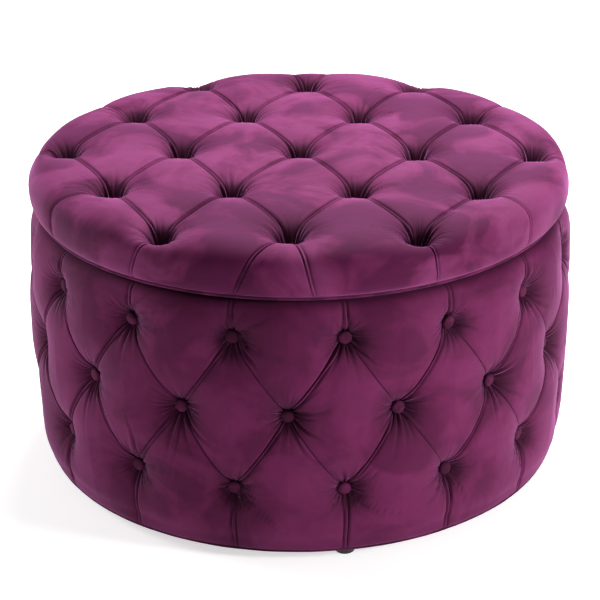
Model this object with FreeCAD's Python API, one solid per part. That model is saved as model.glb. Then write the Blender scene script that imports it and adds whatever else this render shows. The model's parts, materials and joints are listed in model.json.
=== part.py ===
import FreeCAD, Part
import os
from math import asin, cos, radians, sin

# Round deep-buttoned storage ottoman with a hinged lid.
# Millimetres, +Z up, origin on the floor under the centre, front towards -Y, hinges at +Y.

V = FreeCAD.Vector
Z_AXIS = V(0, 0, 1)
ORIGIN = V(0, 0, 0)

# ---- driving dimensions ----
BODY_R = 420.0            # widest radius of the padded wall
LID_R = 411.0             # widest radius of the lid cushion
TOP_Z = 489.0             # crown of the lid cushion
FOOT_H = 19.0             # foot, floor to underside of the body
FOOT_R = 16.0
FOOT_SOLE_R = 13.0        # flat underside
FOOT_CORNER_R = 14.3      # where the rounded corner meets the tapered side
FOOT_CORNER_H = 1.3
FOOT_RECESS = 6.0         # depth of the screw head in the foot
FOOT_RECESS_R = 5.5
FOOT_RING_R = 375.0       # radius of the circle that the feet stand on
FOOT_TURN = 12.0          # first foot, degrees from the front
HEM_CORD_R = 2.5          # piping at the bottom edge
HEM_RING_R = 400.0
LID_CORD_R = 2.75         # piping under the lid's rolled edge
LID_CORD_RING_R = 396.0

SKIN = 3.0                # velvet with its wadding
BASE_T = 12.0             # plywood base
BASE_Z = FOOT_H + SKIN    # underside of the base
FLOOR_Z = BASE_Z + BASE_T
RIM_Z = 405.0             # top of the covered wall
FRAME_TOP_Z = RIM_Z - SKIN
RING_T = 15.0             # plywood rings and the lid board
WALL_FOOT_R = 401.0       # wall radius just above the hem
WAIST_Z = 215.0           # height of the widest part of the wall
HEM_CREST_Z = 45.0        # height where the wall turns in towards the hem
HEM_ROLL = 4.0            # how far the wall stands out at the crest
HEM_TUCK = 3.0            # how far it turns in at the hem
SHOULDER_R = 20.0         # rounding of the wall's top edge
SHOULDER_RING_R = 385.0

INNER_R = 352.0           # storage drum, inside face
INNER_T = 3.0
OUTER_DRUM_R = 378.0      # drum under the padding, inside face
OUTER_DRUM_T = 4.0
LINING_T = 1.0
COVER_RETURN_R = INNER_R  # the velvet turns under the base and stops here

COLUMNS = 16              # wall buttons in each row
ROW_Z = (353.0, 235.0, 114.0)
WALL_BUTTON_R = 401.0     # bottom of the wall's button pits
WALL_PIT = 40.0           # sphere radius of a wall pit
LID_PIT = 45.0            # sphere radius of a lid pit
LID_BUTTON_Z = 445.0      # bottom of the lid's button pits
LID_STEP_X = 179.0        # lid buttons, spacing in a row
LID_STEP_Y = 163.0        # lid buttons, distance between rows
LID_ROWS = (3, 4, 5, 4, 3)
BUTTON_R = 9.5
BUTTON_H = 7.0
BUTTON_EDGE = 1.6         # straight side under the dome
TIE_R = 0.9
TOGGLE_R = 7.0
TOGGLE_T = 2.0
TOGGLE_PLAY = 0.1         # a flat toggle against the round drum

POSTS = 8
POST_W = 40.0
POST_TURN = 5.625         # posts stand between two columns of buttons

FRAME_SCREW_L = 45.0      # countersunk wood screws: length, head radius, shank radius, head height
FRAME_SCREW = (4.0, 2.0, 3.0)
FOOT_SCREW_L = 24.0
FOOT_SCREW = (4.5, 2.25, 3.0)

LID_Z = 409.0             # underside of the closed lid
BOARD_R = 384.0
BOARD_Z = LID_Z + LINING_T
BOARD_TOP = BOARD_Z + RING_T
RETURN_R = 376.0          # the velvet turns under the board and stops here
CORD_GAP = 0.05           # between the lid's piping and the edge it lies against
CORD_LIFT = 0.2           # piping above the underside of the lid
LIP_R = LID_CORD_RING_R - LID_CORD_R - CORD_GAP
CORD_TOP = LID_Z + 6.0    # the rolled edge starts above the piping
SKIRT_Z = 412.0           # foot of the foam outside the board
TOP_EDGE_R = 366.0        # the lid's top starts to roll over here
TOP_EDGE_DROP = 4.0
ROLL_R = LID_R - 13.0     # middle of the rolled edge
ROLL_DROP = 19.0
BULGE_Z = 440.0           # height of the lid's widest part
BULGE_UNDER = 15.0

HINGE_Y = 404.0
HINGE_Z = 407.0
HINGE_X = 75.0            # middle of each hinge, left and right
HINGE_W = 50.0
LEAF_T = 1.5
LEAF_FRONT_Y = 350.0
BARREL_R = 4.0
PIN_R = 1.5
PIN_PLAY = 0.05
KNUCKLES = 5
KNUCKLE_GAP = 0.5
HINGE_SCREW_Y = 358.0
HINGE_SCREW_STEP = 18.0
HINGE_SCREW_L = 16.0
HINGE_SCREW_R = 3.5
HINGE_SHANK_R = 1.75

BUMPER_R = 6.0
BUMPER_RING_R = 369.0
BUMPER_GAP = 0.3


# ---- helpers ----
def revolve(edges):
    """Turn a closed (radius, z) outline about the Z axis."""
    return Part.Face(Part.Wire(edges)).revolve(ORIGIN, Z_AXIS, 360)


def at(r, z):
    return V(r, 0, z)


def outline(*steps):
    """Edges through points; a pair of points in one step is an arc through the first to the second."""
    start = steps[0]
    here = start
    edges = []
    for step in steps[1:] + (start,):
        if isinstance(step[0], tuple):
            through, there = step
            edges.append(Part.Arc(at(*here), at(*through), at(*there)).toShape())
        else:
            there = step
            edges.append(Part.LineSegment(at(*here), at(*there)).toShape())
        here = there
    return edges


def tube(inner, outer, low, high):
    """Upright ring, or a disc when inner is 0."""
    solid = Part.makeCylinder(outer, high - low, V(0, 0, low))
    if inner > 0:
        solid = solid.cut(Part.makeCylinder(inner, high - low, V(0, 0, low)))
    return solid


def on_wall(shape, turn, radius, z):
    """Place a shape made about +Z so that it points outwards from the wall, turn degrees from the front."""
    placed = shape.copy()
    placed.rotate(ORIGIN, V(1, 0, 0), 90)
    placed.translate(V(0, -radius, z))
    placed.rotate(ORIGIN, Z_AXIS, turn)
    return placed


def moved(shape, x, y, z):
    placed = shape.copy()
    placed.translate(V(x, y, z))
    return placed


def spun(shape, turn):
    placed = shape.copy()
    placed.rotate(ORIGIN, Z_AXIS, turn)
    return placed


def save(name, shape):
    shape.exportStep("parts/" + name + ".step")


# ---- repeated small pieces, each made about +Z with its seat at the origin ----
def button(pit):
    """Covered domed button whose back follows the bottom of a pit of that radius."""
    back = asin(BUTTON_R / pit)
    rise = pit - pit * cos(back)
    edge = rise + BUTTON_EDGE
    cap = BUTTON_H - edge
    dome = (BUTTON_R ** 2 + cap ** 2) / (2 * cap)
    side = asin(BUTTON_R / dome) / 2
    return revolve(outline((0, 0), ((pit * sin(back / 2), pit - pit * cos(back / 2)), (BUTTON_R, rise)),
                           (BUTTON_R, edge),
                           ((dome * sin(side), BUTTON_H - dome + dome * cos(side)), (0, BUTTON_H))))


def tie(length):
    """Twine from a button's back to the toggle that holds it."""
    twine = Part.makeCylinder(TIE_R, length - TOGGLE_T, V(0, 0, TOGGLE_T - length))
    toggle = Part.makeCylinder(TOGGLE_R, TOGGLE_T, V(0, 0, -length))
    return twine.fuse(toggle)


def screw(length, head_r, shank_r, head_h):
    """Countersunk screw, head flush with z = 0, pointing down."""
    tip = shank_r
    return revolve(outline((0, 0), (head_r, 0), (shank_r, -head_h), (shank_r, tip - length), (0, -length)))


# ---- places ----
def wall_places():
    """(row, turn) of each wall button; the middle row has one at the front."""
    for row in range(len(ROW_Z)):
        shift = 0.0 if row == 1 else 0.5
        for column in range(COLUMNS):
            yield row, (column + shift) * 360.0 / COLUMNS


def lid_places():
    for row, count in enumerate(LID_ROWS):
        y = (len(LID_ROWS) // 2 - row) * LID_STEP_Y
        for i in range(count):
            yield (i - (count - 1) / 2.0) * LID_STEP_X, y


# ---- padded wall ----
def wall_outline(inset, inner_r, top, bottom):
    """Outline of the wall's outer face, set in by inset, closed along inner_r."""
    crest = (HEM_CREST_Z - bottom) / 2
    return outline((inner_r, bottom), (inner_r, top), (SHOULDER_RING_R, top),
                   (shoulder(inset, 45), shoulder(inset, 0)),
                   ((BODY_R - inset, WAIST_Z), (WALL_FOOT_R + HEM_ROLL - inset, HEM_CREST_Z)),
                   ((WALL_FOOT_R + HEM_ROLL / 2 - inset, HEM_CREST_Z - crest),
                    (WALL_FOOT_R - HEM_TUCK - inset, bottom)))


def shoulder(inset, angle):
    """Point on the rounded top edge."""
    r = SHOULDER_R - inset
    return (SHOULDER_RING_R + r * cos(radians(angle)), RIM_Z - SHOULDER_R + r * sin(radians(angle)))


wall_pits = []
foam_pits = []
wall_ties = [[] for _ in ROW_Z]
wall_buttons = [[] for _ in ROW_Z]
tie_bores = []
pit_shape = Part.makeSphere(WALL_PIT, V(0, 0, WALL_PIT))
foam_pit_shape = Part.makeSphere(WALL_PIT + SKIN, V(0, 0, WALL_PIT))
wall_button = button(WALL_PIT)
wall_tie = tie(WALL_BUTTON_R - OUTER_DRUM_R + TOGGLE_PLAY + TOGGLE_T)
bore_depth = WALL_BUTTON_R - OUTER_DRUM_R + TOGGLE_T
tie_bore = Part.makeCylinder(TIE_R, bore_depth, V(0, 0, -bore_depth))
for row, turn in wall_places():
    place = (turn, WALL_BUTTON_R, ROW_Z[row])
    wall_pits.append(on_wall(pit_shape, *place))
    foam_pits.append(on_wall(foam_pit_shape, *place))
    tie_bores.append(on_wall(tie_bore, *place))
    wall_buttons[row].append(on_wall(wall_button, *place))
    wall_ties[row].append(on_wall(wall_tie, *place))

foam_inner_r = OUTER_DRUM_R + OUTER_DRUM_T
foam_block = revolve(wall_outline(SKIN, foam_inner_r, FRAME_TOP_Z, BASE_Z)).cut(foam_pits)
body_foam = foam_block.cut(tie_bores)
wall_block = revolve(wall_outline(0, INNER_R, RIM_Z, FOOT_H)).cut(wall_pits)
core = tube(0, foam_inner_r, BASE_Z, FRAME_TOP_Z)
body_cover = wall_block.cut([core, foam_block] + tie_bores)

# ---- wooden frame ----
base_panel = tube(0, foam_inner_r, BASE_Z, FLOOR_Z)
top_ring = tube(INNER_R + INNER_T, OUTER_DRUM_R, FRAME_TOP_Z - RING_T, FRAME_TOP_Z)
outer_drum = tube(OUTER_DRUM_R, foam_inner_r, FLOOR_Z, FRAME_TOP_Z).cut(tie_bores)
inner_drum = tube(INNER_R, INNER_R + INNER_T, FLOOR_Z, FRAME_TOP_Z)
post_ring = tube(INNER_R + INNER_T, OUTER_DRUM_R, FLOOR_Z, FRAME_TOP_Z - RING_T)
post_box = Part.makeBox(POST_W, OUTER_DRUM_R, FRAME_TOP_Z, V(-POST_W / 2, -OUTER_DRUM_R, 0))
post = post_ring.common(post_box)
post_mid_r = (INNER_R + INNER_T + OUTER_DRUM_R) / 2

frame_screw = screw(FRAME_SCREW_L, *FRAME_SCREW)
base_screw = frame_screw.copy()
base_screw.rotate(ORIGIN, V(1, 0, 0), 180)
base_screws = []
ring_screws = []
posts = []
for i in range(POSTS):
    turn = POST_TURN + i * 360.0 / POSTS
    base_screws.append(spun(moved(base_screw, 0, -post_mid_r, BASE_Z), turn))
    ring_screws.append(spun(moved(frame_screw, 0, -post_mid_r, FRAME_TOP_Z), turn))
    posts.append(spun(post, turn).cut([base_screws[i], ring_screws[i]]))
base_panel = base_panel.cut(base_screws)
top_ring = top_ring.cut(ring_screws)

# ---- feet ----
foot_screw = screw(FOOT_SCREW_L, *FOOT_SCREW)
foot_screw.rotate(ORIGIN, V(1, 0, 0), 180)
corner_mid = (FOOT_SOLE_R + 0.7 * (FOOT_CORNER_R - FOOT_SOLE_R), 0.3 * FOOT_CORNER_H)
foot_body = revolve(outline((0, 0), (FOOT_SOLE_R, 0), (corner_mid, (FOOT_CORNER_R, FOOT_CORNER_H)),
                            (FOOT_R, FOOT_H), (0, FOOT_H)))
foot_body = foot_body.cut(Part.makeCylinder(FOOT_RECESS_R, FOOT_RECESS))
feet = []
foot_screws = []
for i in range(4):
    turn = FOOT_TURN + i * 90.0
    foot_screws.append(spun(moved(foot_screw, 0, -FOOT_RING_R, FOOT_RECESS), turn))
    feet.append(spun(moved(foot_body, 0, -FOOT_RING_R, 0), turn).cut(foot_screws[i]))
base_panel = base_panel.cut(foot_screws)
body_cover = body_cover.cut(foot_screws)

# ---- linings ----
dust_cover = tube(0, COVER_RETURN_R, BASE_Z - LINING_T, BASE_Z)
inner_lining = tube(INNER_R - LINING_T, INNER_R, FLOOR_Z + LINING_T, RIM_Z)
floor_lining = tube(0, INNER_R, FLOOR_Z, FLOOR_Z + LINING_T)
hem_welt = Part.makeTorus(HEM_RING_R, HEM_CORD_R, V(0, 0, FOOT_H - HEM_CORD_R))

# ---- lid ----
def lid_outline(inset, low, lip_r, lip_low):
    """Outline of the cushion's outer face, set in by inset, from the axis to the lip above the piping."""
    return [(0, TOP_Z - inset), ((TOP_EDGE_R / 2, TOP_Z - TOP_EDGE_DROP / 5 - inset),
                                   (TOP_EDGE_R, TOP_Z - TOP_EDGE_DROP - inset)),
            ((ROLL_R - inset * 0.7, TOP_Z - ROLL_DROP - inset * 0.7), (LID_R - inset, BULGE_Z)),
            ((LID_R - 4 - inset, BULGE_Z - BULGE_UNDER), (LID_CORD_RING_R - inset, CORD_TOP + inset * 0.5)),
            (lip_r, CORD_TOP + inset * 0.5), (lip_r, lip_low), (0, low)]


lid_block = revolve(outline(*lid_outline(0, LID_Z, LIP_R, LID_Z)))
foam_side = outline(*(lid_outline(SKIN, BOARD_TOP, LIP_R - SKIN, SKIRT_Z)[:-1]
                      + [(BOARD_R, SKIRT_Z), (BOARD_R, BOARD_TOP), (0, BOARD_TOP)]))
lid_pit_shape = Part.makeSphere(LID_PIT, V(0, 0, LID_PIT))
lid_foam_pit_shape = Part.makeSphere(LID_PIT + SKIN, V(0, 0, LID_PIT))
lid_tie_length = LID_BUTTON_Z - BOARD_Z
lid_bore = Part.makeCylinder(TIE_R, lid_tie_length, V(0, 0, -lid_tie_length))
lid_recess = Part.makeCylinder(TOGGLE_R, TOGGLE_T, V(0, 0, -lid_tie_length))
lid_button = button(LID_PIT)
lid_tie = tie(lid_tie_length)
lid_pits = []
lid_foam_pits = []
lid_bores = []
lid_recesses = []
lid_buttons = []
lid_ties = []
for x, y in lid_places():
    place = (x, y, LID_BUTTON_Z)
    lid_pits.append(moved(lid_pit_shape, *place))
    lid_foam_pits.append(moved(lid_foam_pit_shape, *place))
    lid_bores.append(moved(lid_bore, *place))
    lid_recesses.append(moved(lid_recess, *place))
    lid_buttons.append(moved(lid_button, *place))
    lid_ties.append(moved(lid_tie, *place))

foam_with_pits = revolve(foam_side).cut(lid_foam_pits)
lid_foam = foam_with_pits.cut(lid_bores)
lid_board = tube(0, BOARD_R, BOARD_Z, BOARD_TOP).cut(lid_bores + lid_recesses)
board_space = tube(0, BOARD_R, BOARD_Z, BOARD_TOP)
lining_space = tube(0, RETURN_R, LID_Z, BOARD_Z)
lid_cover = lid_block.cut(lid_pits).cut([foam_with_pits, board_space, lining_space] + lid_bores)
lid_lining = tube(0, RETURN_R, LID_Z, BOARD_Z)
lid_welt = Part.makeTorus(LID_CORD_RING_R, LID_CORD_R, V(0, 0, LID_Z + CORD_LIFT + LID_CORD_R))


# ---- hinges ----
def knuckles(centre, first):
    """Every second knuckle of a barrel, starting with knuckle number first."""
    pitch = HINGE_W / KNUCKLES
    solids = []
    for i in range(first, KNUCKLES, 2):
        x = centre - HINGE_W / 2 + i * pitch + KNUCKLE_GAP / 2
        solids.append(Part.makeCylinder(BARREL_R, pitch - KNUCKLE_GAP, V(x, HINGE_Y, HINGE_Z), V(1, 0, 0)))
    return solids


def leaf(centre, first, z):
    """Flat leaf with its knuckles; the tabs reach into the barrel beside their own knuckles only."""
    left = centre - HINGE_W / 2
    clear_y = HINGE_Y - BARREL_R - KNUCKLE_GAP
    plate = Part.makeBox(HINGE_W, clear_y - LEAF_FRONT_Y, LEAF_T, V(left, LEAF_FRONT_Y, z))
    pitch = HINGE_W / KNUCKLES
    tabs = []
    for i in range(first, KNUCKLES, 2):
        tabs.append(Part.makeBox(pitch - KNUCKLE_GAP, HINGE_Y - clear_y - 2, LEAF_T,
                                 V(left + i * pitch + KNUCKLE_GAP / 2, clear_y, z)))
    bore = Part.makeCylinder(PIN_R + PIN_PLAY, HINGE_W + 2, V(left - 1, HINGE_Y, HINGE_Z), V(1, 0, 0))
    return plate.fuse(tabs + knuckles(centre, first)).removeSplitter().cut(bore)


def hinge_screw_places(centre):
    return [(centre + i * HINGE_SCREW_STEP, HINGE_SCREW_Y) for i in (-1, 0, 1)]


BODY_LEAF_Z = RIM_Z
LID_LEAF_Z = LID_Z - LEAF_T
hinge_screw = screw(HINGE_SCREW_L, HINGE_SCREW_R, HINGE_SHANK_R, LEAF_T)
lid_screw = hinge_screw.copy()
lid_screw.rotate(ORIGIN, V(1, 0, 0), 180)
body_hinge_screws = []
lid_hinge_screws = []
for side, centre in (("left", -HINGE_X), ("right", HINGE_X)):
    down = [moved(hinge_screw, x, y, RIM_Z + LEAF_T) for x, y in hinge_screw_places(centre)]
    up = [moved(lid_screw, x, y, LID_LEAF_Z) for x, y in hinge_screw_places(centre)]
    save("hinge_body_leaf_" + side, leaf(centre, 0, BODY_LEAF_Z).cut(down))
    save("hinge_lid_leaf_" + side, leaf(centre, 1, LID_LEAF_Z).cut(up))
    save("hinge_pin_" + side, Part.makeCylinder(PIN_R, HINGE_W - 1, V(centre - HINGE_W / 2 + 0.5, HINGE_Y,
                                                                     HINGE_Z), V(1, 0, 0)))
    body_hinge_screws += down
    lid_hinge_screws += up
body_cover = body_cover.cut(body_hinge_screws)
top_ring = top_ring.cut(body_hinge_screws)
lid_lining = lid_lining.cut(lid_hinge_screws)
lid_board = lid_board.cut(lid_hinge_screws)

# ---- files ----
os.makedirs("parts", exist_ok=True)
save("body_foam", body_foam)
save("body_cover", body_cover)
save("base_panel", base_panel)
save("top_ring", top_ring)
save("outer_drum", outer_drum)
save("inner_drum", inner_drum)
save("dust_cover", dust_cover)
save("inner_lining", inner_lining)
save("floor_lining", floor_lining)
save("hem_welt", hem_welt)
save("base_screws", Part.makeCompound(base_screws))
save("top_ring_screws", Part.makeCompound(ring_screws))
save("foot_screws", Part.makeCompound(foot_screws))
save("hinge_body_screws", Part.makeCompound(body_hinge_screws))
save("hinge_lid_screws", Part.makeCompound(lid_hinge_screws))
save("lid_board", lid_board)
save("lid_foam", lid_foam)
save("lid_cover", lid_cover)
save("lid_lining", lid_lining)
save("lid_welt", lid_welt)
save("lid_buttons", Part.makeCompound(lid_buttons))
save("lid_button_ties", Part.makeCompound(lid_ties))
for row in range(len(ROW_Z)):
    save("body_buttons_row_%d" % (row + 1), Part.makeCompound(wall_buttons[row]))
    save("body_button_ties_row_%d" % (row + 1), Part.makeCompound(wall_ties[row]))
for i in range(POSTS):
    save("post_%d" % (i + 1), posts[i])
for i in range(4):
    save("foot_%d" % (i + 1), feet[i])
    bumper = Part.makeCylinder(BUMPER_R, LID_Z - RIM_Z - BUMPER_GAP, V(0, -BUMPER_RING_R, RIM_Z))
    save("lid_bumper_%d" % (i + 1), spun(bumper, 45 + 90 * i))
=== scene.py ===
import json
import math
from collections import namedtuple

import bmesh
import bpy
import numpy as np
from mathutils import Matrix, Vector


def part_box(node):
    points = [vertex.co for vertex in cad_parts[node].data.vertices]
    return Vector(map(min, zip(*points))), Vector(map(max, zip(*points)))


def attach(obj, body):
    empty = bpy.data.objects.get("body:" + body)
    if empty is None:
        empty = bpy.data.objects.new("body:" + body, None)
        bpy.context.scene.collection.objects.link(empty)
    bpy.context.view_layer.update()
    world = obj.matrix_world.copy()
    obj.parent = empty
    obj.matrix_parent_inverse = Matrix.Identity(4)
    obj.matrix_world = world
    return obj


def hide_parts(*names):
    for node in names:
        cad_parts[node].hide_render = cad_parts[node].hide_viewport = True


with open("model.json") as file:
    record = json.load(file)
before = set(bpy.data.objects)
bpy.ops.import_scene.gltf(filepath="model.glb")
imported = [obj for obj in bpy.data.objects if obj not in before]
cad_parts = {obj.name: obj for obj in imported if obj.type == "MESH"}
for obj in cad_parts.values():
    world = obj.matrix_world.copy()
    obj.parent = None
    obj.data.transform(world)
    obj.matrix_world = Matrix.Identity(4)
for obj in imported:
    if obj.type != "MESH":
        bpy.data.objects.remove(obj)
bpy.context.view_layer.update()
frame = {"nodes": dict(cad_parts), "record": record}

MM = 0.001
TURN = 2 * math.pi
FAR = 9.0             # metres, more than any place is from a button or a pleat

# ---- sizes read from the frame ----
wall_low, wall_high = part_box("body_cover")
lid_low, lid_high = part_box("lid_cover")
WALL_R = wall_high.x
RIM_Z = wall_high.z
BODY_Z = wall_low.z
LID_R = lid_high.x
LID_TOP = lid_high.z
LID_Z = lid_low.z
STORE_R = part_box("floor_lining")[1].x
PAD_BACK_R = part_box("outer_drum")[1].x
RETURN_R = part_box("lid_lining")[1].x
BOARD_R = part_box("lid_board")[1].x
BOARD_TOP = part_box("lid_board")[1].z

BUTTON_R = 9.5 * MM
row_boxes = [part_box("body_buttons_row_%d" % n) for n in (1, 2, 3)]
ROW_Z = [(low.z + high.z) / 2 for low, high in row_boxes]
lid_buttons_low, lid_buttons_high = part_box("lid_buttons")
BUTTON_H = lid_buttons_high.z - lid_buttons_low.z
LID_SEAT_Z = lid_buttons_low.z
LID_STEP_X = (lid_buttons_high.x - BUTTON_R) / 2
LID_STEP_Y = (lid_buttons_high.y - BUTTON_R) / 2
WALL_SEAT_R = -row_boxes[1][0].y - BUTTON_H
COLUMNS = 16
LID_ROWS = (3, 4, 5, 4, 3)


# ---- smooth seeded noise ----
class Ripple:
    """Sum of sine waves in random directions, about -1 to 1, the same each run."""

    def __init__(self, seed, wavelength, waves=9, dims=3):
        rng = np.random.default_rng(seed)
        way = rng.normal(size=(waves, dims))
        way /= np.linalg.norm(way, axis=1)[:, None]
        self.k = way * TURN / (wavelength * rng.uniform(0.7, 1.5, waves))[:, None]
        self.phase = rng.uniform(0, TURN, waves)
        self.gain = 2.4 / waves

    def __call__(self, points):
        return np.sin(points @ self.k.T + self.phase).sum(1) * self.gain


# ---- outlines of the padded pieces, (radius, height) ----
PUFF = 4.2 * MM       # how far the wall's padding stands proud of the CAD wall
LID_PUFF = 2.2 * MM
SUNK = 1.5 * MM       # the bottom of a wall hollow, in behind the seat of the CAD button
HEM_DROP = 1.5 * MM   # how far the cover's foot hangs below the CAD wall
RETURN_T = 2.8 * MM   # thickness of the cover where it runs over the rim and under the base
WALL_BUTTON_LIFT = 2.3 * MM
LID_BUTTON_LIFT = 1.0 * MM


def bezier_chain(pieces, steps=80):
    """Points along cubic Bezier pieces, each given by its four control points."""
    t = np.linspace(0, 1, steps)[:, None]
    rows = []
    for a, b, c, d in pieces:
        a, b, c, d = (np.array(p) for p in (a, b, c, d))
        rows.append((1 - t) ** 3 * a + 3 * (1 - t) ** 2 * t * b + 3 * (1 - t) * t ** 2 * c + t ** 3 * d)
    return np.concatenate([rows[0]] + [r[1:] for r in rows[1:]])


class Outline:
    """A (radius, height) curve read by its own length."""

    def __init__(self, pieces):
        self.points = bezier_chain(pieces)
        steps = np.linalg.norm(np.diff(self.points, axis=0), axis=1)
        self.at = np.concatenate([[0], np.cumsum(steps)])
        self.length = self.at[-1]
        way = np.gradient(self.points, axis=0)
        way /= np.linalg.norm(way, axis=1)[:, None]
        self.way = way

    def place(self, v):
        return np.stack([np.interp(v, self.at, self.points[:, i]) for i in (0, 1)], -1)

    def direction(self, v):
        way = np.stack([np.interp(v, self.at, self.way[:, i]) for i in (0, 1)], -1)
        return way / np.linalg.norm(way, axis=-1)[..., None]

    def at_height(self, z):
        return float(np.interp(z, self.points[:, 1], self.at))


def wall_outline():
    """From the hem, up the wall and over its rounded top edge."""
    r, top, foot = WALL_R + PUFF, RIM_Z, BODY_Z - HEM_DROP

    def low(inward, up):
        return r - inward * MM, foot + up * MM

    def high(inward, down):
        return r - inward * MM, top - down * MM

    return Outline([(low(25, 0), low(19, 0.2), low(17, 7), low(9, 28)),
                    (low(9, 28), low(3.5, 46), low(0, 95), low(0, 180)),
                    (low(0, 180), high(0, 120), high(0.5, 72), high(3, 43)),
                    (high(3, 43), high(5, 20), high(15, 0.5), high(34, 0))])


def lid_outline():
    """From the middle of the lid, over its rolled edge and down to the piping."""
    r, top, low_z = LID_R + LID_PUFF, LID_TOP + LID_PUFF, LID_Z

    def flat(out, down):
        return out * MM, top - down * MM

    def high(inward, down):
        return r - inward * MM, top - down * MM

    def low(inward, up):
        return r - inward * MM, low_z + up * MM

    return Outline([(flat(0, 0), flat(120, 0), flat(240, 0), flat(345, 1.2)),
                    (flat(345, 1.2), high(20, 1.8), high(0, 12), high(0, 44)),
                    (high(0, 44), low(0, 21), low(5, 12), low(14, 6.2))])


# ---- buttoning: how deep the cover lies under its outline ----
class Crease:
    """A pleat between two points of the unrolled cover.

    depth is the valley's, with the share called middle left halfway along, and fold is the flap's height.
    side says to which side the flap lies, and half is half the flap's width. A lone crease has one line
    and no flap. both says that there is a button at each end, not just at the start.
    """

    def __init__(self, start, end, depth, fold, side, middle, half=2.5 * MM, lone=False, both=True):
        self.start, self.end = np.array(start, float), np.array(end, float)
        self.depth, self.fold, self.side, self.middle = depth, fold, side, middle
        self.half, self.lone, self.both = half, lone, both


Gathers = namedtuple("Gathers", "amount number reach side long_folds")


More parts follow.
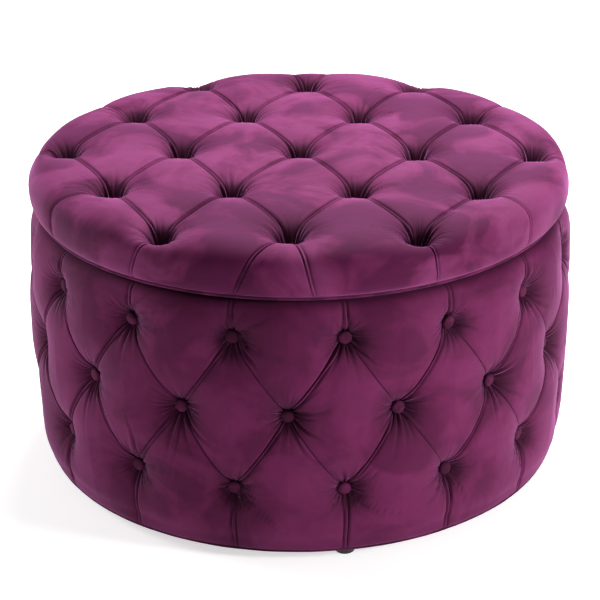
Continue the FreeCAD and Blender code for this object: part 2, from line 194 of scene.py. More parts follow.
class Tufting:
    """Depth of a buttoned cover: funnels at the buttons, V-shaped creases, folded pleats and gathers, with
    painted shade in them.
    """

    def __init__(self, buttons, creases, pit, pit_shape, crease_width, crown, gathers, wrap=None,
                 flattened=1.0, seed=1):
        self.buttons, self.creases, self.wrap = np.array(buttons), creases, wrap
        self.pit, self.pit_shape, self.crease_width = pit, pit_shape, crease_width
        self.crown, self.gathers, self.flattened, self.seed = crown, gathers, flattened, seed

    def offset(self, points, centre):
        rel = points - centre
        if self.wrap:
            rel[:, 0] = (rel[:, 0] + self.wrap / 2) % self.wrap - self.wrap / 2
        return rel

    def funnels(self, points, rng):
        """Depth of the buttoned-down funnels, and the offset from each point's nearest button."""
        nearest = np.full(len(points), FAR)
        pull = np.zeros((len(points), 3))
        firm = np.ones(len(points))
        for i, button in enumerate(self.buttons):
            rel = self.offset(points, button)
            r = np.hypot(rel[:, 0], rel[:, 1])
            near = r < nearest
            nearest[near] = r[near]
            pull[near, :2] = rel[near]
            pull[near, 2] = i
            firm[near] = rng.uniform(0.95, 1.03)
        width, power = self.pit_shape
        reach = np.clip((nearest - 0.75 * BUTTON_R) / width, 1e-3, None)
        pits = self.pit * firm / (1 + reach ** power)
        slope = pits * power * reach ** (power - 1) / width / (1 + reach ** power)
        return pits, np.hypot(1, slope), pull

    def gather(self, points, rng):
        """Short radial folds where the cloth is drawn in at each button, fullest towards one side."""
        amount, number, reach, side, long_folds = self.gathers
        total = np.zeros(len(points))
        for button in self.buttons:
            rel = self.offset(points, button)
            r = np.hypot(rel[:, 0], rel[:, 1])
            near = np.flatnonzero(r < 90 * MM)
            x, y, r = rel[near, 0], rel[near, 1], r[near]
            spread = np.arange(number) + rng.uniform(-0.38, 0.38, number)
            turns = spread * TURN / number + rng.uniform(0, 1)
            pulled = side + rng.normal(0, 0.7)
            fullness = rng.uniform(0.3, 1.0, number) * (0.62 + 0.38 * np.cos(turns - pulled))
            lengths = reach * rng.uniform(0.6, 1.6, number) * (0.45 + fullness)
            bends = rng.uniform(-5, 5, number)
            if long_folds:
                ways = rng.integers(0, 2, long_folds) * math.pi + rng.normal(0, 0.3, long_folds)
                turns = np.concatenate([turns, ways])
                fullness = np.concatenate([fullness, rng.uniform(0.15, 0.4, long_folds)])
                lengths = np.concatenate([lengths, rng.uniform(38, 62, long_folds) * MM])
                bends = np.concatenate([bends, rng.uniform(-4, 4, long_folds)])
            for turn, full, length, bend in zip(turns, fullness, lengths, bends):
                heading = turn + bend * np.clip(r - BUTTON_R, 0, None)
                along = x * np.cos(heading) + y * np.sin(heading)
                across = y * np.cos(heading) - x * np.sin(heading)
                wide = 0.8 * MM + 0.055 * np.clip(along, 0, 30 * MM)
                shape = np.exp(-(across / wide) ** 2) - 0.45 * np.exp(-(np.abs(across) / wide - 1.9) ** 2)
                start = np.clip((along - 0.72 * BUTTON_R) / (4 * MM), 0, 1)
                fade = np.exp(-(np.clip(along - BUTTON_R, 0, None) / length) ** 1.6)
                total[near] += amount * full * shape * start * fade
        return total

    def pleats(self, points, rng):
        """Depth of the creases, of their folded flaps, painted shade along their fold lines, and the
        distance to the closest one.
        """
        valley, fold, dark = (np.zeros(len(points)) for _ in range(3))
        closest = np.full(len(points), FAR)
        for c in self.creases:
            way = c.end - c.start
            length = np.hypot(*way)
            way = way / length
            rel = self.offset(points, (c.start + c.end) / 2)
            along = rel @ way
            across = rel[:, 0] * way[1] - rel[:, 1] * way[0]
            past = np.clip(np.abs(along) - length / 2, 0, None)
            dist = np.hypot(across, past)
            to_start = np.clip(along + length / 2, 0, length)
            to_end = length - to_start if c.both else np.full_like(to_start, length)
            ends = np.minimum(to_start, to_end)
            taper = c.middle + (1 - c.middle) * np.exp(-ends / (22 * MM))
            size, size_2, lean = rng.uniform(0.8, 1.2), rng.uniform(0.8, 1.2), rng.uniform(-0.4, 0.4)
            valley = np.maximum(valley, c.depth * size * taper / (1 + (dist / self.crease_width) ** 1.5))
            near = (dist < closest) & (dist < 24 * MM)
            closest = np.minimum(closest, dist)
            d, ends = across[near] * c.side, ends[near]
            inside = np.clip(1 - past[near] / (3 * MM), 0, 1)
            # the flap: a sharp edge, a soft edge, the ridge between them and the lip beyond
            half = (c.half + lean * MM) * np.clip(ends / (16 * MM), 0.3, 1)
            half = half + 0.9 * MM * np.exp(-((ends - 26 * MM) / (14 * MM)) ** 2)
            sharp = np.exp(-((d - half) / (1.0 * MM)) ** 2)
            soft = np.exp(-((d + half) / (1.3 * MM)) ** 2)
            ridge = np.exp(-(d / (1.3 * MM)) ** 2)
            lip = np.exp(-np.abs(d - half) / (6 * MM)) * (d > half)
            if c.lone:
                shape = np.exp(-(d / (1.0 * MM)) ** 2) - 0.25 * np.exp(-((d - 3 * MM) / (1.6 * MM)) ** 2)
                crease_shade = 1.2 * np.exp(-(d / (0.9 * MM)) ** 2)
            else:
                shape = 1.2 * sharp + 0.7 * soft - 0.45 * ridge - 0.4 * lip
                crease_shade = sharp + 0.5 * soft
            fold[near] = c.fold * size_2 * shape * inside
            # painted shade along each crease's fold lines, where the groove's shadow falls
            dark[near] = np.clip(c.fold / (2.5 * MM) * crease_shade, 0, 1) * inside
        return valley, fold, dark, closest

    def depth(self, points, detail=True):
        """Depth in metres, painted shade from 0 to 1 for the hollows, creases and fold valleys, and the
        offset from the nearest button.
        """
        rng = np.random.default_rng(self.seed)
        pits, steep, pull = self.funnels(points, rng)
        valley, fold, dark, closest = self.pleats(points, rng)
        crown = self.crown * np.exp(-closest / (26 * MM))
        total = np.hypot(pits, valley) + crown
        if detail:
            gathers = self.gather(points, rng)
            total = total + fold + gathers * steep
            # painted shade in the valleys of the gathers
            dark = dark * 0.75 + np.clip(gathers / (2 * MM), 0, 0.5)
        # painted shade on the side of each hollow away from the light, turned by the gathers' side
        shaded_side = np.cos(np.arctan2(pull[:, 1], pull[:, 0]) - self.gathers.side)
        dark = dark + 0.8 * np.clip((steep - 1) / 0.3, 0, 1) * np.clip(shaded_side, 0, 1)
        # painted shade: darkest at the bottom of each hollow, plus a faint band along every crease
        painted_shade = (pits / self.pit) ** 1.1 * 0.85 + dark + 0.12 * np.exp(-closest / (5 * MM))
        # the next factor scales all of this painted shade; the lid gets less
        painted_shade = np.clip(self.flattened * painted_shade, 0, 1)
        return total, painted_shade, pull


def drawn(pull):
    """How strongly the cloth is drawn in, 1 at a button and 0 from 56 mm away."""
    return np.clip(1 - np.hypot(pull[:, 0], pull[:, 1]) / (56 * MM), 0, 1) ** 1.5


# ---- meshes ----
def bunched(n, k=0.72):
    """0 to 1 in n steps, closer together at both ends."""
    f = np.linspace(0, 1, n + 1)
    return f - k * np.sin(TURN * f) / TURN


def mesh_from(name, points, faces, attributes=None):
    """A smooth piece from points and either an array of quads or a list of faces of any size."""
    mesh = bpy.data.meshes.new(name)
    if isinstance(faces, list):
        mesh.from_pydata([tuple(p) for p in points], [], faces)
    else:
        mesh.vertices.add(len(points))
        mesh.vertices.foreach_set("co", np.asarray(points, np.float32).ravel())
        mesh.loops.add(faces.size)
        mesh.loops.foreach_set("vertex_index", faces.astype(np.int32).ravel())
        mesh.polygons.add(len(faces))
        mesh.polygons.foreach_set("loop_start", np.arange(0, faces.size, faces.shape[1], dtype=np.int32))
    mesh.update(calc_edges=True)
    mesh.validate()
    mesh.shade_smooth()
    for key, values in (attributes or {}).items():
        kind, field = ("FLOAT", "value") if values.ndim == 1 else ("FLOAT_VECTOR", "vector")
        layer = mesh.attributes.new(key, kind, "POINT")
        layer.data.foreach_set(field, np.asarray(values, np.float32).ravel())
    piece = bpy.data.objects.new(name, mesh)
    bpy.context.scene.collection.objects.link(piece)
    return piece


def quads(rows, cols, wrap_rows=False, wrap_cols=False):
    """Vertex numbers of a rows by cols grid."""
    i = np.arange(rows if wrap_rows else rows - 1)[:, None]
    j = np.arange(cols if wrap_cols else cols - 1)[None, :]
    i2, j2 = (i + 1) % rows, (j + 1) % cols
    return np.stack([i * cols + j, i * cols + j2, i2 * cols + j2, i2 * cols + j], -1).reshape(-1, 4)


def weld(piece):
    """Join patches that share an edge, and close what is left open."""
    bm = bmesh.new()
    bm.from_mesh(piece.data)
    bmesh.ops.remove_doubles(bm, verts=bm.verts, dist=0.002 * MM)
    loose = [e for e in bm.edges if e.is_boundary]
    if loose:
        bmesh.ops.holes_fill(bm, edges=loose, sides=0)
    bmesh.ops.recalc_face_normals(bm, faces=bm.faces)
    bm.to_mesh(piece.data)
    bm.free()
    return piece


# ---- wall ----
wall_line = wall_outline()
WALL_GIRTH = TURN * WALL_R
COLUMN = WALL_GIRTH / COLUMNS
ROW_V = [wall_line.at_height(z) for z in ROW_Z]
WALL_DRIFT_U = Ripple(5, 0.33)
WALL_DRIFT_V = Ripple(6, 0.30)


def wrapped(u, v):
    """Unrolled places on a plain cylinder, where noise meets itself all round."""
    return np.stack([WALL_R * np.cos(u / WALL_R), WALL_R * np.sin(u / WALL_R), v], -1)


def wall_drift(u, v):
    """Small sideways errors of hand work, the same all round, in metres along and up the wall."""
    ring = wrapped(u, v)
    fade = np.clip(np.minimum(v, wall_line.length - v) / (60 * MM), 0, 1)
    return 2.6 * MM * WALL_DRIFT_U(ring) * fade, 2.2 * MM * WALL_DRIFT_V(ring) * fade


def wall_tufting():
    buttons, creases = [], []
    top, foot = wall_line.length + 20 * MM, -20 * MM
    for i in range(COLUMNS):
        odd, even = (i + 0.5) * COLUMN, i * COLUMN
        buttons += [(odd, ROW_V[0]), (even, ROW_V[1]), (odd, ROW_V[2])]
        for row in (0, 2):
            side = 1 if row == 0 else -1
            for to in (even, even + COLUMN):
                strong = (to == even) == (row == 0)
                depth, fold = (7, 3.0) if strong else (5, 1.5)
                creases.append(Crease((odd, ROW_V[row]), (to, ROW_V[1]), depth * MM, fold * MM, side,
                                      middle=0.6, lone=not strong))
        for row, end, side in ((0, top, 1), (2, foot, -1)):
            creases.append(Crease((odd, ROW_V[row]), (odd, end), 5.5 * MM, 3.2 * MM, side,
                                  middle=0.6, half=3.6 * MM, both=False))
    gathers = Gathers(amount=4.2 * MM, number=20, reach=26 * MM, side=-0.6, long_folds=0)
    return Tufting(buttons, creases, pit=WALL_R + PUFF + SUNK - WALL_SEAT_R, pit_shape=(18.5 * MM, 1.65),
                   crease_width=8 * MM, crown=3.4 * MM, gathers=gathers, wrap=WALL_GIRTH, seed=11)


def wall_grid(half_columns=25, rows=(38, 40, 34)):
    """Unrolled places (u, v) whose lines follow the pleats, a bunch of rows for each tier."""
    across = bunched(half_columns)[:-1]
    u, share = [], []
    for half in range(2 * COLUMNS):
        u.append((half + across) * COLUMN / 2)
        share.append(across if half % 2 else 1 - across)
    u, share = np.concatenate(u), np.concatenate(share)
    slack = 2 * MM        # keeps the grid's two zigzag lines apart where they meet at the middle buttons
    low = ROW_V[2] + (ROW_V[1] - slack - ROW_V[2]) * share
    high = ROW_V[0] + (ROW_V[1] + slack - ROW_V[0]) * share
    foot, top = np.zeros_like(u), np.full_like(u, wall_line.length)
    tiers = []
    for (a, b), n in zip(((foot, low), (low, high), (high, top)), rows):
        f = bunched(n)[:, None]
        tiers.append((a + (b - a) * f)[:-1])
    tiers.append(top[None, :])
    v = np.concatenate(tiers)
    return np.broadcast_to(u, v.shape).copy(), v


def wall_point(u, v, depth):
    """Place on the round wall, depth under its outline."""
    du, dv = wall_drift(u, v)
    at = np.clip(v + dv, 0, wall_line.length)
    spot, way = wall_line.place(at), wall_line.direction(at)
    out = np.stack([way[..., 1], -way[..., 0]], -1)
    spot = spot - out * depth[..., None]
    turn = (u + du) / WALL_R
    return np.stack([spot[..., 0] * np.sin(turn), -spot[..., 0] * np.cos(turn), spot[..., 1]], -1)


def make_wall(tufting):
    u, v = wall_grid()
    flat = np.stack([u.ravel(), v.ravel()], -1)
    depth, painted_shade, pull = tufting.depth(flat)
    ring = wrapped(flat[:, 0], flat[:, 1])
    depth = depth + 1.1 * MM * (1 + Ripple(21, 0.12)(ring)) * 0.5
    edge = np.minimum(flat[:, 1], wall_line.length - flat[:, 1])
    depth = depth * np.clip(edge / (24 * MM), 0, 1)
    # painted shade along the wall's foot above the hem piping and along its top under the lid
    painted_shade = np.clip(painted_shade + 0.9 * np.exp(-edge / (7 * MM)), 0, 1)
    points = wall_point(flat[:, 0], flat[:, 1], depth).reshape(u.shape + (3,))
    turn = u[0] / WALL_R

    # out of sight: under the lid, down the outside of the drum and in under the base
    back, high, low = PAD_BACK_R + 0.1 * MM, RIM_Z - RETURN_T, BODY_Z + RETURN_T
    hidden = [(STORE_R, RIM_Z), (STORE_R, high), (back, high), (back, low), (STORE_R, low),
              (STORE_R, BODY_Z - HEM_DROP)]
    rings = [np.stack([r * np.sin(turn), -r * np.cos(turn), np.full_like(turn, z)], -1) for r, z in hidden]
    points = np.concatenate([points, np.stack(rings)])
    plain = len(hidden) * len(turn)
    rows, cols = points.shape[:2]
    # the first mesh attribute is painted shade for the velvet's colour
    return mesh_from("body_upholstery", points.reshape(-1, 3), quads(rows, cols, True, True),
                     attributes={"painted_shade": np.concatenate([painted_shade, np.zeros(plain)]),
                                 "pull": np.concatenate([pull, np.ones((plain, 3))]),
                                 "drawn": np.concatenate([drawn(pull), np.zeros(plain)])})


# ---- lid ----
lid_line = lid_outline()
LID_DRIFT_X = Ripple(8, 0.31, dims=2)
LID_DRIFT_Y = Ripple(9, 0.29, dims=2)
LID_REACH = lid_line.length


def lid_spot(row, i):
    """Unrolled place of a lid button; row 0 is at the back."""
    middle = len(LID_ROWS) // 2
    return np.array([(i - (LID_ROWS[row] - 1) / 2) * LID_STEP_X, (middle - row) * LID_STEP_Y])


# Outer buttons and the notches between them, from the front and round to the right, with the
# turn in degrees from the front at which each one's pleat reaches the piping.
LID_EDGE = (((4, 1), 5.5), ((3, 2), 18.0), ((4, 2), 30.5), ((3, 3), 55.5), ((2, 4), 89.0),
            ((1, 3), 127.0), ((0, 2), 152.0), ((1, 2), 161.0), ((0, 1), 171.0), ((0, 1), 187.0),
            ((1, 1), 196.0), ((0, 0), 207.0), ((1, 0), 236.0), ((2, 0), 265.0), ((3, 0), 301.5),
            ((4, 0), 327.0), ((3, 1), 338.5), ((4, 1), 349.5))
NOTCHES = ((3, 2), (1, 2), (1, 1), (3, 1))


def rim_spot(degrees):
    a = math.radians(degrees)
    return np.array([math.sin(a), -math.cos(a)]) * LID_REACH


def lid_tufting():
    buttons, creases = [], []
    for row, count in enumerate(LID_ROWS):
        for i in range(count):
            here = lid_spot(row, i)
            buttons.append(here)
            if row + 1 < len(LID_ROWS):
                for j in range(LID_ROWS[row + 1]):
                    there = lid_spot(row + 1, j)
                    step = there[0] - here[0]
                    if abs(step) < LID_STEP_X * 0.6:
                        depth, fold, side = (10, 3.4, 1) if step < 0 else (8.5, 2.6, -1)
                        creases.append(Crease(here, there, depth * MM, fold * MM, side, middle=0.4))
    for spot, turn in LID_EDGE:
        if spot not in NOTCHES:
            fold, middle = (3.2, 0.3) if spot in ((4, 1), (0, 1)) else (2.2, 0.2)
            creases.append(Crease(lid_spot(*spot), rim_spot(turn), 9 * MM, fold * MM,
                                  1 if turn < 180 else -1, middle, both=False))
    gathers = Gathers(amount=3.2 * MM, number=24, reach=21 * MM, side=1.5, long_folds=6)
    # the lid's painted shade is scaled down to 0.72 of the wall's
    return Tufting(buttons, creases, pit=LID_TOP - LID_SEAT_Z, pit_shape=(13 * MM, 1.85),
                   crease_width=9 * MM, crown=2.8 * MM, gathers=gathers, flattened=0.72, seed=31)


def lid_point(flat, depth):
    """Place on the lid, depth under its outline, for unrolled places (x, y)."""
    drift = 2.4 * MM * np.stack([LID_DRIFT_X(flat), LID_DRIFT_Y(flat)], -1)
    reach = np.hypot(flat[:, 0], flat[:, 1])
    drift *= np.clip((LID_REACH - reach) / (60 * MM), 0, 1)[:, None]
    moved = flat + drift
    v = np.clip(np.hypot(moved[:, 0], moved[:, 1]), 1e-9, LID_REACH)
    spot, way = lid_line.place(v), lid_line.direction(v)
    out = np.stack([-way[:, 1], way[:, 0]], -1)
    spot = spot - out * depth[:, None]
    heading = moved / v[:, None]
    return np.stack([heading[:, 0] * spot[:, 0], heading[:, 1] * spot[:, 0], spot[:, 1]], -1)


def make_lid(tufting, cell=52, outward=60):
    flats, faces, start = [], [], 0

    def add(flat, rows, cols):
        nonlocal start
        flats.append(flat)
        faces.append(quads(rows, cols) + start)
        start += rows * cols

    f = bunched(cell)
    s, t = np.meshgrid(f, f, indexing="ij")
    for row in range(len(LID_ROWS) - 2):
        for i in range(LID_ROWS[row]):
            left = i if LID_ROWS[row + 1] > LID_ROWS[row] else i - 1
            if left < 0 or left + 1 >= LID_ROWS[row + 1]:
                continue
            top, a, b = lid_spot(row, i), lid_spot(row + 1, left), lid_spot(row + 1, left + 1)
            flat = top + (a - top) * s[..., None] + (b - top) * t[..., None]
            add(flat.reshape(-1, 2), cell + 1, cell + 1)
    far = bunched(outward, 0.5)
    rims = []
    s, t = np.meshgrid(f, far, indexing="ij")
    for (here, turn_a), (there, turn_b) in zip(LID_EDGE, LID_EDGE[1:] + LID_EDGE[:1]):
        a, b = lid_spot(*here), lid_spot(*there)
        gap = (turn_b - turn_a) % 360
        turns = np.radians(turn_a + gap * s)
        rim = np.stack([np.sin(turns), -np.cos(turns)], -1) * LID_REACH
        flat = (a + (b - a) * s[..., None]) * (1 - t[..., None]) + rim * t[..., None]
        add(flat.reshape(-1, 2), cell + 1, outward + 1)
        rims.append(turns)
    flat = np.concatenate(flats)
    depth, painted_shade, pull = tufting.depth(flat)
    reach = np.hypot(flat[:, 0], flat[:, 1])
    depth = depth + 1.6 * MM * (1 + Ripple(22, 0.15, dims=2)(flat)) * 0.5
    depth = depth * np.clip(0.1 + (LID_REACH - reach) / (34 * MM), 0, 1)
    points = lid_point(flat, depth)

    # the cover turns in behind the piping, runs under the board and is closed round the board's edge
    edge, low = lid_line.points[-1]
    slip = 0.2 * MM
    fold_r, fold_z = RETURN_R + slip, LID_Z + 0.9 * MM
    side_r, inside_z = BOARD_R + slip, BOARD_TOP + slip
    under = [(edge, low), (edge - 3 * MM, low - 3 * MM), (edge - 9 * MM, LID_Z + 2 * slip),
             (fold_r, LID_Z + slip), (fold_r, fold_z), (side_r, fold_z), (side_r, inside_z), (0, inside_z)]
    for turns in rims:
        a = turns[:, 0]
        rings = [np.stack([r * np.sin(a), -r * np.cos(a), np.full(cell + 1, z)], -1) for r, z in under]
        add(np.stack(rings, 1).reshape(-1, 3), cell + 1, len(under))
    below = np.concatenate(flats[-len(rims):])
    points = np.concatenate([points, below])
    painted_shade = np.concatenate([painted_shade, np.zeros(len(below))])
    pull = np.concatenate([pull, np.ones_like(below)])
    # the first mesh attribute is painted shade for the velvet's colour
    piece = mesh_from("lid_upholstery", points, np.concatenate(faces),
                     attributes={"painted_shade": painted_shade, "pull": pull, "drawn": drawn(pull)})
    return weld(piece)


def piping(name, node, seed):
    """Covered cord in the place of a CAD ring, a little uneven, as a covered cord is."""
    low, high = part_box(node)
    cord = (high.z - low.z) / 2
    ring = high.x - cord
    z = (low.z + high.z) / 2
    around = np.linspace(0, TURN, 18, endpoint=False)
    n = 900
    angle = np.linspace(0, TURN, n, endpoint=False)
    base = np.stack([ring * np.sin(angle), -ring * np.cos(angle), np.zeros(n)], -1)
    plump = cord * 0.96 * (1 + 0.05 * Ripple(seed, 0.05)(base) + 0.02 * Ripple(seed + 1, 0.012)(base))
    sway = 0.35 * MM * Ripple(seed + 2, 0.16)(base)
    rows = []
    for a in around:
        r = ring + plump * math.cos(a) - 0.2 * MM
        height = z + plump * math.sin(a) + sway
        rows.append(np.stack([r * np.sin(angle), -r * np.cos(angle), height], -1))
    points = np.stack(rows)
    return mesh_from(name, points.reshape(-1, 3), quads(len(around), n, True, True))


def button_shape(rings=14, n=40, seed=0):
    """Covered domed button about +Z, seat at the origin, with the cloth gathered round its edge."""
    angle = np.linspace(0, TURN, n, endpoint=False)
    rng = np.random.default_rng(seed)
    phase = rng.uniform(0, TURN, 3)
    side = BUTTON_R * 0.98
    profile = [(0.72 * side, 0.9 * MM)]
    for t in np.linspace(-0.9, math.pi / 2, rings)[:-1]:
        r = side * math.cos(t) ** 0.8 if t > 0 else side * (1 - 0.12 * t * t)
        profile.append((r, 3.1 * MM + 3.7 * MM * math.sin(t)))
    rows = []
    for i, (r, z) in enumerate(profile):
        rim = math.exp(-i / 3.0)
        folds = 0.035 * np.cos(13 * angle + phase[0]) + 0.03 * np.cos(19 * angle + phase[1])
        ripple = 1 + rim * folds
        rows.append(np.stack([r * ripple * np.cos(angle), r * ripple * np.sin(angle), np.full(n, z)], -1))
    points = np.concatenate([np.concatenate(rows), [[0, 0, 6.85 * MM], [0, 0, 0.9 * MM]]])
    faces = [tuple(q) for q in quads(len(rows), n, False, True)]
    top, back = len(points) - 2, len(points) - 1
    last = (len(rows) - 1) * n
    faces += [(last + j, last + (j + 1) % n, top) for j in range(n)]
    faces += [((j + 1) % n, j, back) for j in range(n)]
    return points, faces


def button_group(name, places, seed):
    """All buttons of one row in one mesh; each place is a matrix."""
    points, faces = [], []
    for k, place in enumerate(places):
        shape, sides = button_shape(seed=seed + k)
        moved = shape @ np.array(place.to_3x3()).T + np.array(place.translation)
        start = sum(len(p) for p in points)
        points.append(moved)
        faces += [tuple(i + start for i in f) for f in sides]
    return mesh_from(name, np.concatenate(points), faces)


def stand(spot, outward, tilt=0.0):
    """Matrix that puts +Z along outward at spot."""
    turn = Vector(outward).to_track_quat("Z", "Y").to_matrix().to_4x4()
    return Matrix.Translation(Vector(spot)) @ turn @ Matrix.Rotation(tilt, 4, "X")


def wall_buttons(row, tufting):
    places = []
    for i in range(COLUMNS):
        u = (i + (0.0 if row == 1 else 0.5)) * COLUMN
        u_, v_ = np.array([u]), np.array([ROW_V[row]])
        seat = tufting.depth(np.array([[u, ROW_V[row]]]), detail=False)[0]
        spot = wall_point(u_, v_, seat)[0]
        out = Vector((spot[0], spot[1], 0)).normalized()
        places.append(stand(Vector(spot) + out * WALL_BUTTON_LIFT, out, 0.12 * math.sin(i * 2.4 + row)))
    return button_group("wall_buttons_row_%d" % (row + 1), places, 100 * row)


def lid_button_places(tufting):
    places = []
    for row, count in enumerate(LID_ROWS):
        for i in range(count):
            flat = lid_spot(row, i)[None, :]
            spot = lid_point(flat, tufting.depth(flat, detail=False)[0])[0]
            places.append(stand(Vector(spot) + Vector((0, 0, LID_BUTTON_LIFT)), (0, 0, 1)))
    return places


# ---- materials ----
class Shader:
    """A small builder for one node material."""

    def __init__(self, name, rough=0.9, specular=0.2, **sockets):
        self.material = bpy.data.materials.new(name)
        self.material.use_nodes = True
        self.nodes, self.links = self.material.node_tree.nodes, self.material.node_tree.links
        self.surface = self.nodes["Principled BSDF"]
        self.surface.inputs["Roughness"].default_value = rough
        self.surface.inputs["Specular IOR Level"].default_value = specular
        for key, value in sockets.items():
            self.surface.inputs[key.replace("_", " ")].default_value = value
        self.space = self.nodes.new("ShaderNodeTexCoord").outputs["Object"]

    def noise(self, scale, detail=3.0, rough=0.55, stretch=(1, 1, 1), warp=0.0):
        mapping = self.nodes.new("ShaderNodeMapping")
        mapping.inputs["Scale"].default_value = stretch
        self.links.new(self.space, mapping.inputs["Vector"])
        node = self.nodes.new("ShaderNodeTexNoise")
        node.inputs["Scale"].default_value = scale
        node.inputs["Detail"].default_value = detail
        node.inputs["Roughness"].default_value = rough
        node.inputs["Distortion"].default_value = warp
        self.links.new(mapping.outputs["Vector"], node.inputs["Vector"])
        return node.outputs["Fac"]

    def wave(self, scale, axis, distortion):
        node = self.nodes.new("ShaderNodeTexWave")
        node.bands_direction = axis
        node.inputs["Scale"].default_value = scale
        node.inputs["Distortion"].default_value = distortion
        self.links.new(self.space, node.inputs["Vector"])
        return node.outputs["Fac"]

    def ramp(self, fac, *stops):
        node = self.nodes.new("ShaderNodeValToRGB")
        while len(node.color_ramp.elements) < len(stops):
            node.color_ramp.elements.new(0.5)
        for element, (at, colour) in zip(node.color_ramp.elements, stops):
            element.position = at
            element.color = (*colour, 1) if len(colour) == 3 else colour
        self.links.new(fac, node.inputs["Fac"])
        return node.outputs["Color"]

    def mix(self, fac, a, b, blend="MIX"):
        node = self.nodes.new("ShaderNodeMix")
        node.data_type = "RGBA"
        node.blend_type = blend
        for socket, value in ((node.inputs[0], fac), (node.inputs[6], a), (node.inputs[7], b)):
            self.put(value, socket)
        return node.outputs[2]

    def math(self, operation, a, b):
        node = self.nodes.new("ShaderNodeMath")
        node.operation = operation
        self.put(a, node.inputs[0])
        self.put(b, node.inputs[1])
        return node.outputs[0]

    def put(self, value, socket):
        if isinstance(value, bpy.types.NodeSocket):
            self.links.new(value, socket)
        elif isinstance(value, tuple) and len(value) == 3:
            socket.default_value = (*value, 1)
        else:
            socket.default_value = value

    def attribute(self, name):
        node = self.nodes.new("ShaderNodeAttribute")
        node.attribute_name = name
        return node.outputs["Fac"]

    def radial_folds(self, name):
        """Fine folds that run out from the nearest button and die away as drawn() does."""
        away = self.nodes.new("ShaderNodeAttribute")
        away.attribute_name = name
        parts = self.nodes.new("ShaderNodeSeparateXYZ")
        self.links.new(away.outputs["Vector"], parts.inputs[0])
        x, y, which = parts.outputs
        r = self.math("MAXIMUM", self.math("SQRT", self.math(
            "ADD", self.math("MULTIPLY", x, x), self.math("MULTIPLY", y, y)), 0.0), 0.001)
        spread = self.nodes.new("ShaderNodeCombineXYZ")
        self.links.new(self.math("MULTIPLY", self.math("DIVIDE", x, r), 6.5), spread.inputs[0])
        self.links.new(self.math("MULTIPLY", self.math("DIVIDE", y, r), 6.5), spread.inputs[1])
        self.links.new(self.math("ADD", self.math("MULTIPLY", r, 16.0), self.math("MULTIPLY", which, 7.0)),
                       spread.inputs[2])
        folds = self.nodes.new("ShaderNodeTexNoise")
        folds.inputs["Scale"].default_value = 1.0
        folds.inputs["Detail"].default_value = 2.0
        self.links.new(spread.outputs[0], folds.inputs["Vector"])
        height = self.math("SUBTRACT", folds.outputs["Fac"], 0.5)
        return self.math("MULTIPLY", height, self.attribute("drawn"))

    def bump(self, height, strength, distance, below=None):
        node = self.nodes.new("ShaderNodeBump")
        node.inputs["Strength"].default_value = strength
        node.inputs["Distance"].default_value = distance
        self.links.new(height, node.inputs["Height"])
        if below is not None:
            self.links.new(below, node.inputs["Normal"])
        return node.outputs["Normal"]

    def done(self, colour, normal=None, rough=None):
        self.put(colour, self.surface.inputs["Base Color"])
        if normal is not None:
            self.links.new(normal, self.surface.inputs["Normal"])
        if rough is not None:
            self.links.new(rough, self.surface.inputs["Roughness"])
        return self.material


def shade(colour, k):
    return tuple(c * k for c in colour)


VELVET = (0.104, 0.0098, 0.053)
NAP_DOWN = (0.104, 0.0015, 0.055)
NAP_UP = (0.104, 0.021, 0.068)


def toward(colour, other, k):
    return tuple(a + (b - a) * k for a, b in zip(colour, other))


def velvet(name, tufted=True, scale=1.0, nap=0.4, hue=0.0, shaded_copy_tone=1.0, sheen=0.37):
    """Short-pile velvet: a nap brushed into soft patches, with painted shade in hollows, creases and fold
    valleys.
    """
    s = Shader(name, rough=0.8, specular=0.10, Sheen_Weight=sheen, Sheen_Roughness=0.36,
               Sheen_Tint=(0.91, 0.27, 0.74, 1))
    # a tone below 1 makes a darker, shaded copy of this velvet: painted shade
    down = shade(toward(VELVET, NAP_DOWN, hue), shaded_copy_tone * (1 - nap))
    up = shade(toward(VELVET, NAP_UP, hue), shaded_copy_tone * (1 + 0.75 * nap))
    patches = s.ramp(s.noise(6.5 * scale, 4.0, 0.55, warp=0.9), (0.44, down),
                     (0.5, shade(VELVET, shaded_copy_tone)), (0.57, up))
    brushed = s.ramp(s.noise(26 * scale, 5.0, 0.6, warp=0.9), (0.3, (0.80,) * 3), (0.7, (1.14,) * 3))
    colour = s.mix(0.7, patches, brushed, "MULTIPLY")
    pile = s.ramp(s.noise(900, 2.0, 0.7), (0.25, (0.78,) * 3), (0.75, (1.18,) * 3))
    colour = s.mix(0.6, colour, pile, "MULTIPLY")
    normal = s.bump(s.noise(1400, 2.0, 0.6), 0.10, 0.0006)
    normal = s.bump(s.noise(60 * scale, 4.0, 0.6, warp=0.5), 0.10, 0.002, normal)
    if tufted:
        # painted shade from the mesh attribute: hollows, creases, fold valleys and the wall's ends
        colour = s.mix(s.math("MULTIPLY", s.attribute("painted_shade"), 0.9), colour, shade(VELVET, 0.28))
        folds = s.radial_folds("pull")
        # painted shade in the valleys of the fine folds round each button
        colour = s.mix(s.math("MULTIPLY", folds, -3.0), colour, shade(VELVET, 0.3))
        normal = s.bump(folds, 0.9, 0.009, normal)
    return s.done(colour, normal)


def weave(name, colour, threads=900.0, depth=0.35, rough=0.9):
    """Plain weave of two crossing sets of threads."""
    s = Shader(name, rough=rough, specular=0.15)
    cross = s.math("MULTIPLY", s.wave(threads, "X", 0.4), s.wave(threads, "Z", 0.4))
    cross = s.math("ADD", cross, s.math("MULTIPLY", s.wave(threads, "Y", 0.4), 0.5))
    shades = s.ramp(cross, (0.1, shade(colour, 0.6)), (0.9, shade(colour, 1.5)))
    dust = s.ramp(s.noise(7, 4.0), (0.35, (0.85,) * 3), (0.7, (1.2,) * 3))
    return s.done(s.mix(0.8, shades, dust, "MULTIPLY"), s.bump(cross, depth, 0.0005))


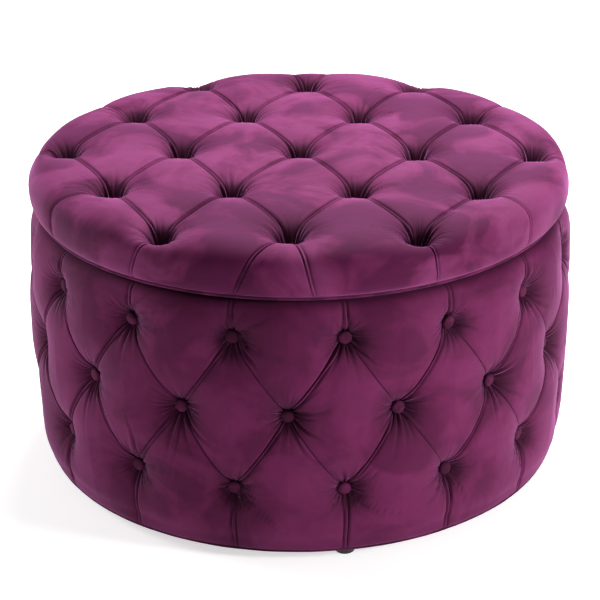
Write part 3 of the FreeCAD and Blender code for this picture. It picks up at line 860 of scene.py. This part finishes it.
def felt(name, colour):
    """Non-woven cloth: matted fibres."""
    s = Shader(name, rough=0.95, specular=0.1)
    fibres = s.noise(420, 6.0, 0.75, warp=2.5)
    shades = s.ramp(fibres, (0.3, shade(colour, 0.6)), (0.7, shade(colour, 1.8)))
    return s.done(shades, s.bump(fibres, 0.5, 0.0005))


def plywood(name, light, dark):
    s = Shader(name, rough=0.7, specular=0.25)
    grain = s.noise(26, 8.0, 0.65, stretch=(1, 9, 9), warp=0.8)
    rings = s.noise(5, 3.0, 0.5, stretch=(1, 4, 4), warp=1.4)
    colour = s.mix(s.ramp(rings, (0.3, (0, 0, 0)), (0.7, (1, 1, 1))), light, dark)
    lines = s.ramp(grain, (0.4, (0.72,) * 3), (0.6, (1.08,) * 3))
    return s.done(s.mix(0.8, colour, lines, "MULTIPLY"), s.bump(grain, 0.25, 0.0008))


def fibreboard(name, colour):
    s = Shader(name, rough=0.8, specular=0.2)
    specks = s.noise(260, 5.0, 0.7)
    clouds = s.noise(9, 3.0)
    shades = s.ramp(specks, (0.3, shade(colour, 0.7)), (0.7, shade(colour, 1.25)))
    return s.done(s.mix(0.5, shades, s.ramp(clouds, (0.3, (0.8,) * 3), (0.7, (1.15,) * 3)), "MULTIPLY"),
                  s.bump(specks, 0.3, 0.0006))


def moulded(name, colour, rough=0.5):
    """Moulded plastic or rubber with a fine spark-eroded texture."""
    s = Shader(name, rough=rough, specular=0.4)
    grain = s.noise(1500, 3.0, 0.6)
    smears = s.noise(35, 4.0, 0.6, warp=0.6)
    shades = s.ramp(smears, (0.3, shade(colour, 0.8)), (0.75, shade(colour, 1.5)))
    roughness = s.math("ADD", rough - 0.12, s.math("MULTIPLY", smears, 0.25))
    return s.done(shades, s.bump(grain, 0.25, 0.0002), roughness)


def zinc(name, colour, scale=1.0):
    """Zinc-plated steel: fine brushing, faint cloudy tarnish."""
    s = Shader(name, rough=0.35, specular=0.5, Metallic=1.0)
    brushed = s.noise(300 * scale, 4.0, 0.6, stretch=(1, 14, 14))
    clouds = s.noise(45, 4.0, 0.6, warp=0.8)
    shades = s.ramp(clouds, (0.3, shade(colour, 0.82)), (0.7, colour))
    roughness = s.math("ADD", 0.24, s.math("MULTIPLY", brushed, 0.25))
    return s.done(shades, s.bump(brushed, 0.15, 0.0002), roughness)


def twine(name, colour):
    s = Shader(name, rough=0.75, specular=0.25)
    twist = s.wave(1100, "DIAGONAL", 0.6)
    return s.done(s.ramp(twist, (0.2, shade(colour, 0.6)), (0.8, colour)), s.bump(twist, 0.5, 0.0003))


def open_foam(name, colour):
    s = Shader(name, rough=0.95, specular=0.1)
    cells = s.noise(700, 4.0, 0.7)
    return s.done(s.ramp(cells, (0.35, shade(colour, 0.7)), (0.65, colour)), s.bump(cells, 0.6, 0.0006))


LID_VELVET = velvet("velvet_lid", nap=0.4, hue=0.45)
BODY_VELVET = velvet("velvet_body", nap=0.24, hue=0.12)
FINISH = {
    "velvet": BODY_VELVET,
    # darker copies of the velvet: painted shade for the piping's dark line under the lid and at the hem,
    # and for the buttons down in their hollows
    "velvet_piping": velvet("velvet_piping", False, 3.0, shaded_copy_tone=0.7, sheen=0.24),
    "velvet_buttons": velvet("velvet_buttons", False, 3.0, shaded_copy_tone=0.62, sheen=0.14),
    "foam": open_foam("upholstery_foam", (0.8, 0.74, 0.52)),
    "lining": weave("black_lining", (0.018, 0.018, 0.02)),
    "dust_cloth": felt("black_dust_cloth", (0.016, 0.016, 0.018)),
    "plywood": plywood("plywood", (0.60, 0.43, 0.25), (0.44, 0.28, 0.14)),
    "fibreboard": fibreboard("fibreboard", (0.26, 0.16, 0.09)),
    "black_plastic": moulded("black_plastic", (0.012, 0.012, 0.012)),
    "rubber": moulded("black_rubber", (0.02, 0.02, 0.02), 0.75),
    "twine": twine("tufting_twine", (0.7, 0.64, 0.52)),
    "hinge_steel": zinc("zinc_hinge", (0.40, 0.39, 0.37)),
    "screw_steel": zinc("zinc_screw", (0.42, 0.41, 0.38), 2.0)}


def finish_cad_nodes():
    slots = {p["node"]: p["material_slot"] for p in frame["record"]["subparts"]}
    for node, piece in frame["nodes"].items():
        piece.data.materials.clear()
        piece.data.materials.append(FINISH[slots[node]])


def settle(piece, body, slot, *nodes, finish=None):
    piece.data.materials.append(finish or FINISH[slot])
    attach(piece, body)
    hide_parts(*nodes)
    return piece


# ---- the ottoman ----
finish_cad_nodes()
wall_cloth = wall_tufting()
wall = settle(make_wall(wall_cloth), "body", "velvet", "body_cover", "body_foam")
for row in range(3):
    settle(wall_buttons(row, wall_cloth), "body", "velvet_buttons", "body_buttons_row_%d" % (row + 1))
settle(piping("hem_piping", "hem_welt", 51), "body", "velvet_piping", "hem_welt")

lid_cloth = lid_tufting()
lid = settle(make_lid(lid_cloth), "lid", "velvet", "lid_cover", "lid_foam", finish=LID_VELVET)
lid_buttons = button_group("lid_covered_buttons", lid_button_places(lid_cloth), 900)
settle(lid_buttons, "lid", "velvet_buttons", "lid_buttons")
settle(piping("lid_piping", "lid_welt", 61), "lid", "velvet_piping", "lid_welt")

# ---- floor, light and camera ----
FLOOR_REACH = 60
corners = [(x * FLOOR_REACH, y * FLOOR_REACH, 0) for x, y in ((-1, -1), (1, -1), (1, 1), (-1, 1))]
floor_mesh = bpy.data.meshes.new("floor")
floor_mesh.from_pydata(corners, [], [(0, 1, 2, 3)])
floor = bpy.data.objects.new("floor", floor_mesh)
bpy.context.scene.collection.objects.link(floor)
floor_shader = Shader("floor_paper", rough=0.6, specular=0.2)
floor_shader.surface.inputs["Emission Color"].default_value = (1, 1, 1, 1)
floor_shader.surface.inputs["Emission Strength"].default_value = 0.61
floor_mesh.materials.append(floor_shader.done(
    floor_shader.ramp(floor_shader.noise(1.5, 2.0), (0.3, (0.80,) * 3), (0.7, (0.82,) * 3))))


def softbox(name, place, target, size, power):
    data = bpy.data.lights.new(name, "AREA")
    data.shape = "DISK"
    data.size = size
    data.energy = power
    lamp = bpy.data.objects.new(name, data)
    lamp.location = place
    lamp.rotation_euler = (Vector(target) - Vector(place)).to_track_quat("-Z", "Y").to_euler()
    bpy.context.scene.collection.objects.link(lamp)


softbox("overhead", (0.5, 1.0, 2.6), (0, 0, 0.4), 1.8, 153)
softbox("right_side", (2.4, -1.1, 1.0), (0, 0, 0.3), 0.6, 60)
softbox("left_side", (-2.4, 0.5, 1.0), (0, 0, 0.25), 1.2, 36)

world = bpy.data.worlds.new("studio")
world.use_nodes = True
world.node_tree.nodes["Background"].inputs["Color"].default_value = (1, 1, 1, 1)
world.node_tree.nodes["Background"].inputs["Strength"].default_value = 0.185
bpy.context.scene.world = world
bpy.context.scene.view_settings.view_transform = "Standard"
bpy.context.scene.cycles.use_denoising = True

CAMERA_AZIMUTH = math.radians(2.54)
CAMERA_DISTANCE = 3.0846
CAMERA_ELEVATION = math.radians(24.19)
CAMERA_ROLL = math.radians(0.55)
AIM_Z = 0.2413
LOWER_AIM = 0.0105
camera_data = bpy.data.cameras.new("camera")
camera_data.sensor_width = 36
camera_data.lens = 117.46
camera = bpy.data.objects.new("camera", camera_data)
reach = CAMERA_DISTANCE * math.cos(CAMERA_ELEVATION)
camera.location = (reach * math.sin(CAMERA_AZIMUTH), -reach * math.cos(CAMERA_AZIMUTH),
                   AIM_Z + CAMERA_DISTANCE * math.sin(CAMERA_ELEVATION))
look = Vector((0, 0, AIM_Z - LOWER_AIM)) - camera.location
camera.rotation_euler = (look.to_track_quat("-Z", "Y").to_matrix()
                         @ Matrix.Rotation(-CAMERA_ROLL, 3, "Z")).to_euler()
bpy.context.scene.collection.objects.link(camera)
bpy.context.scene.camera = camera
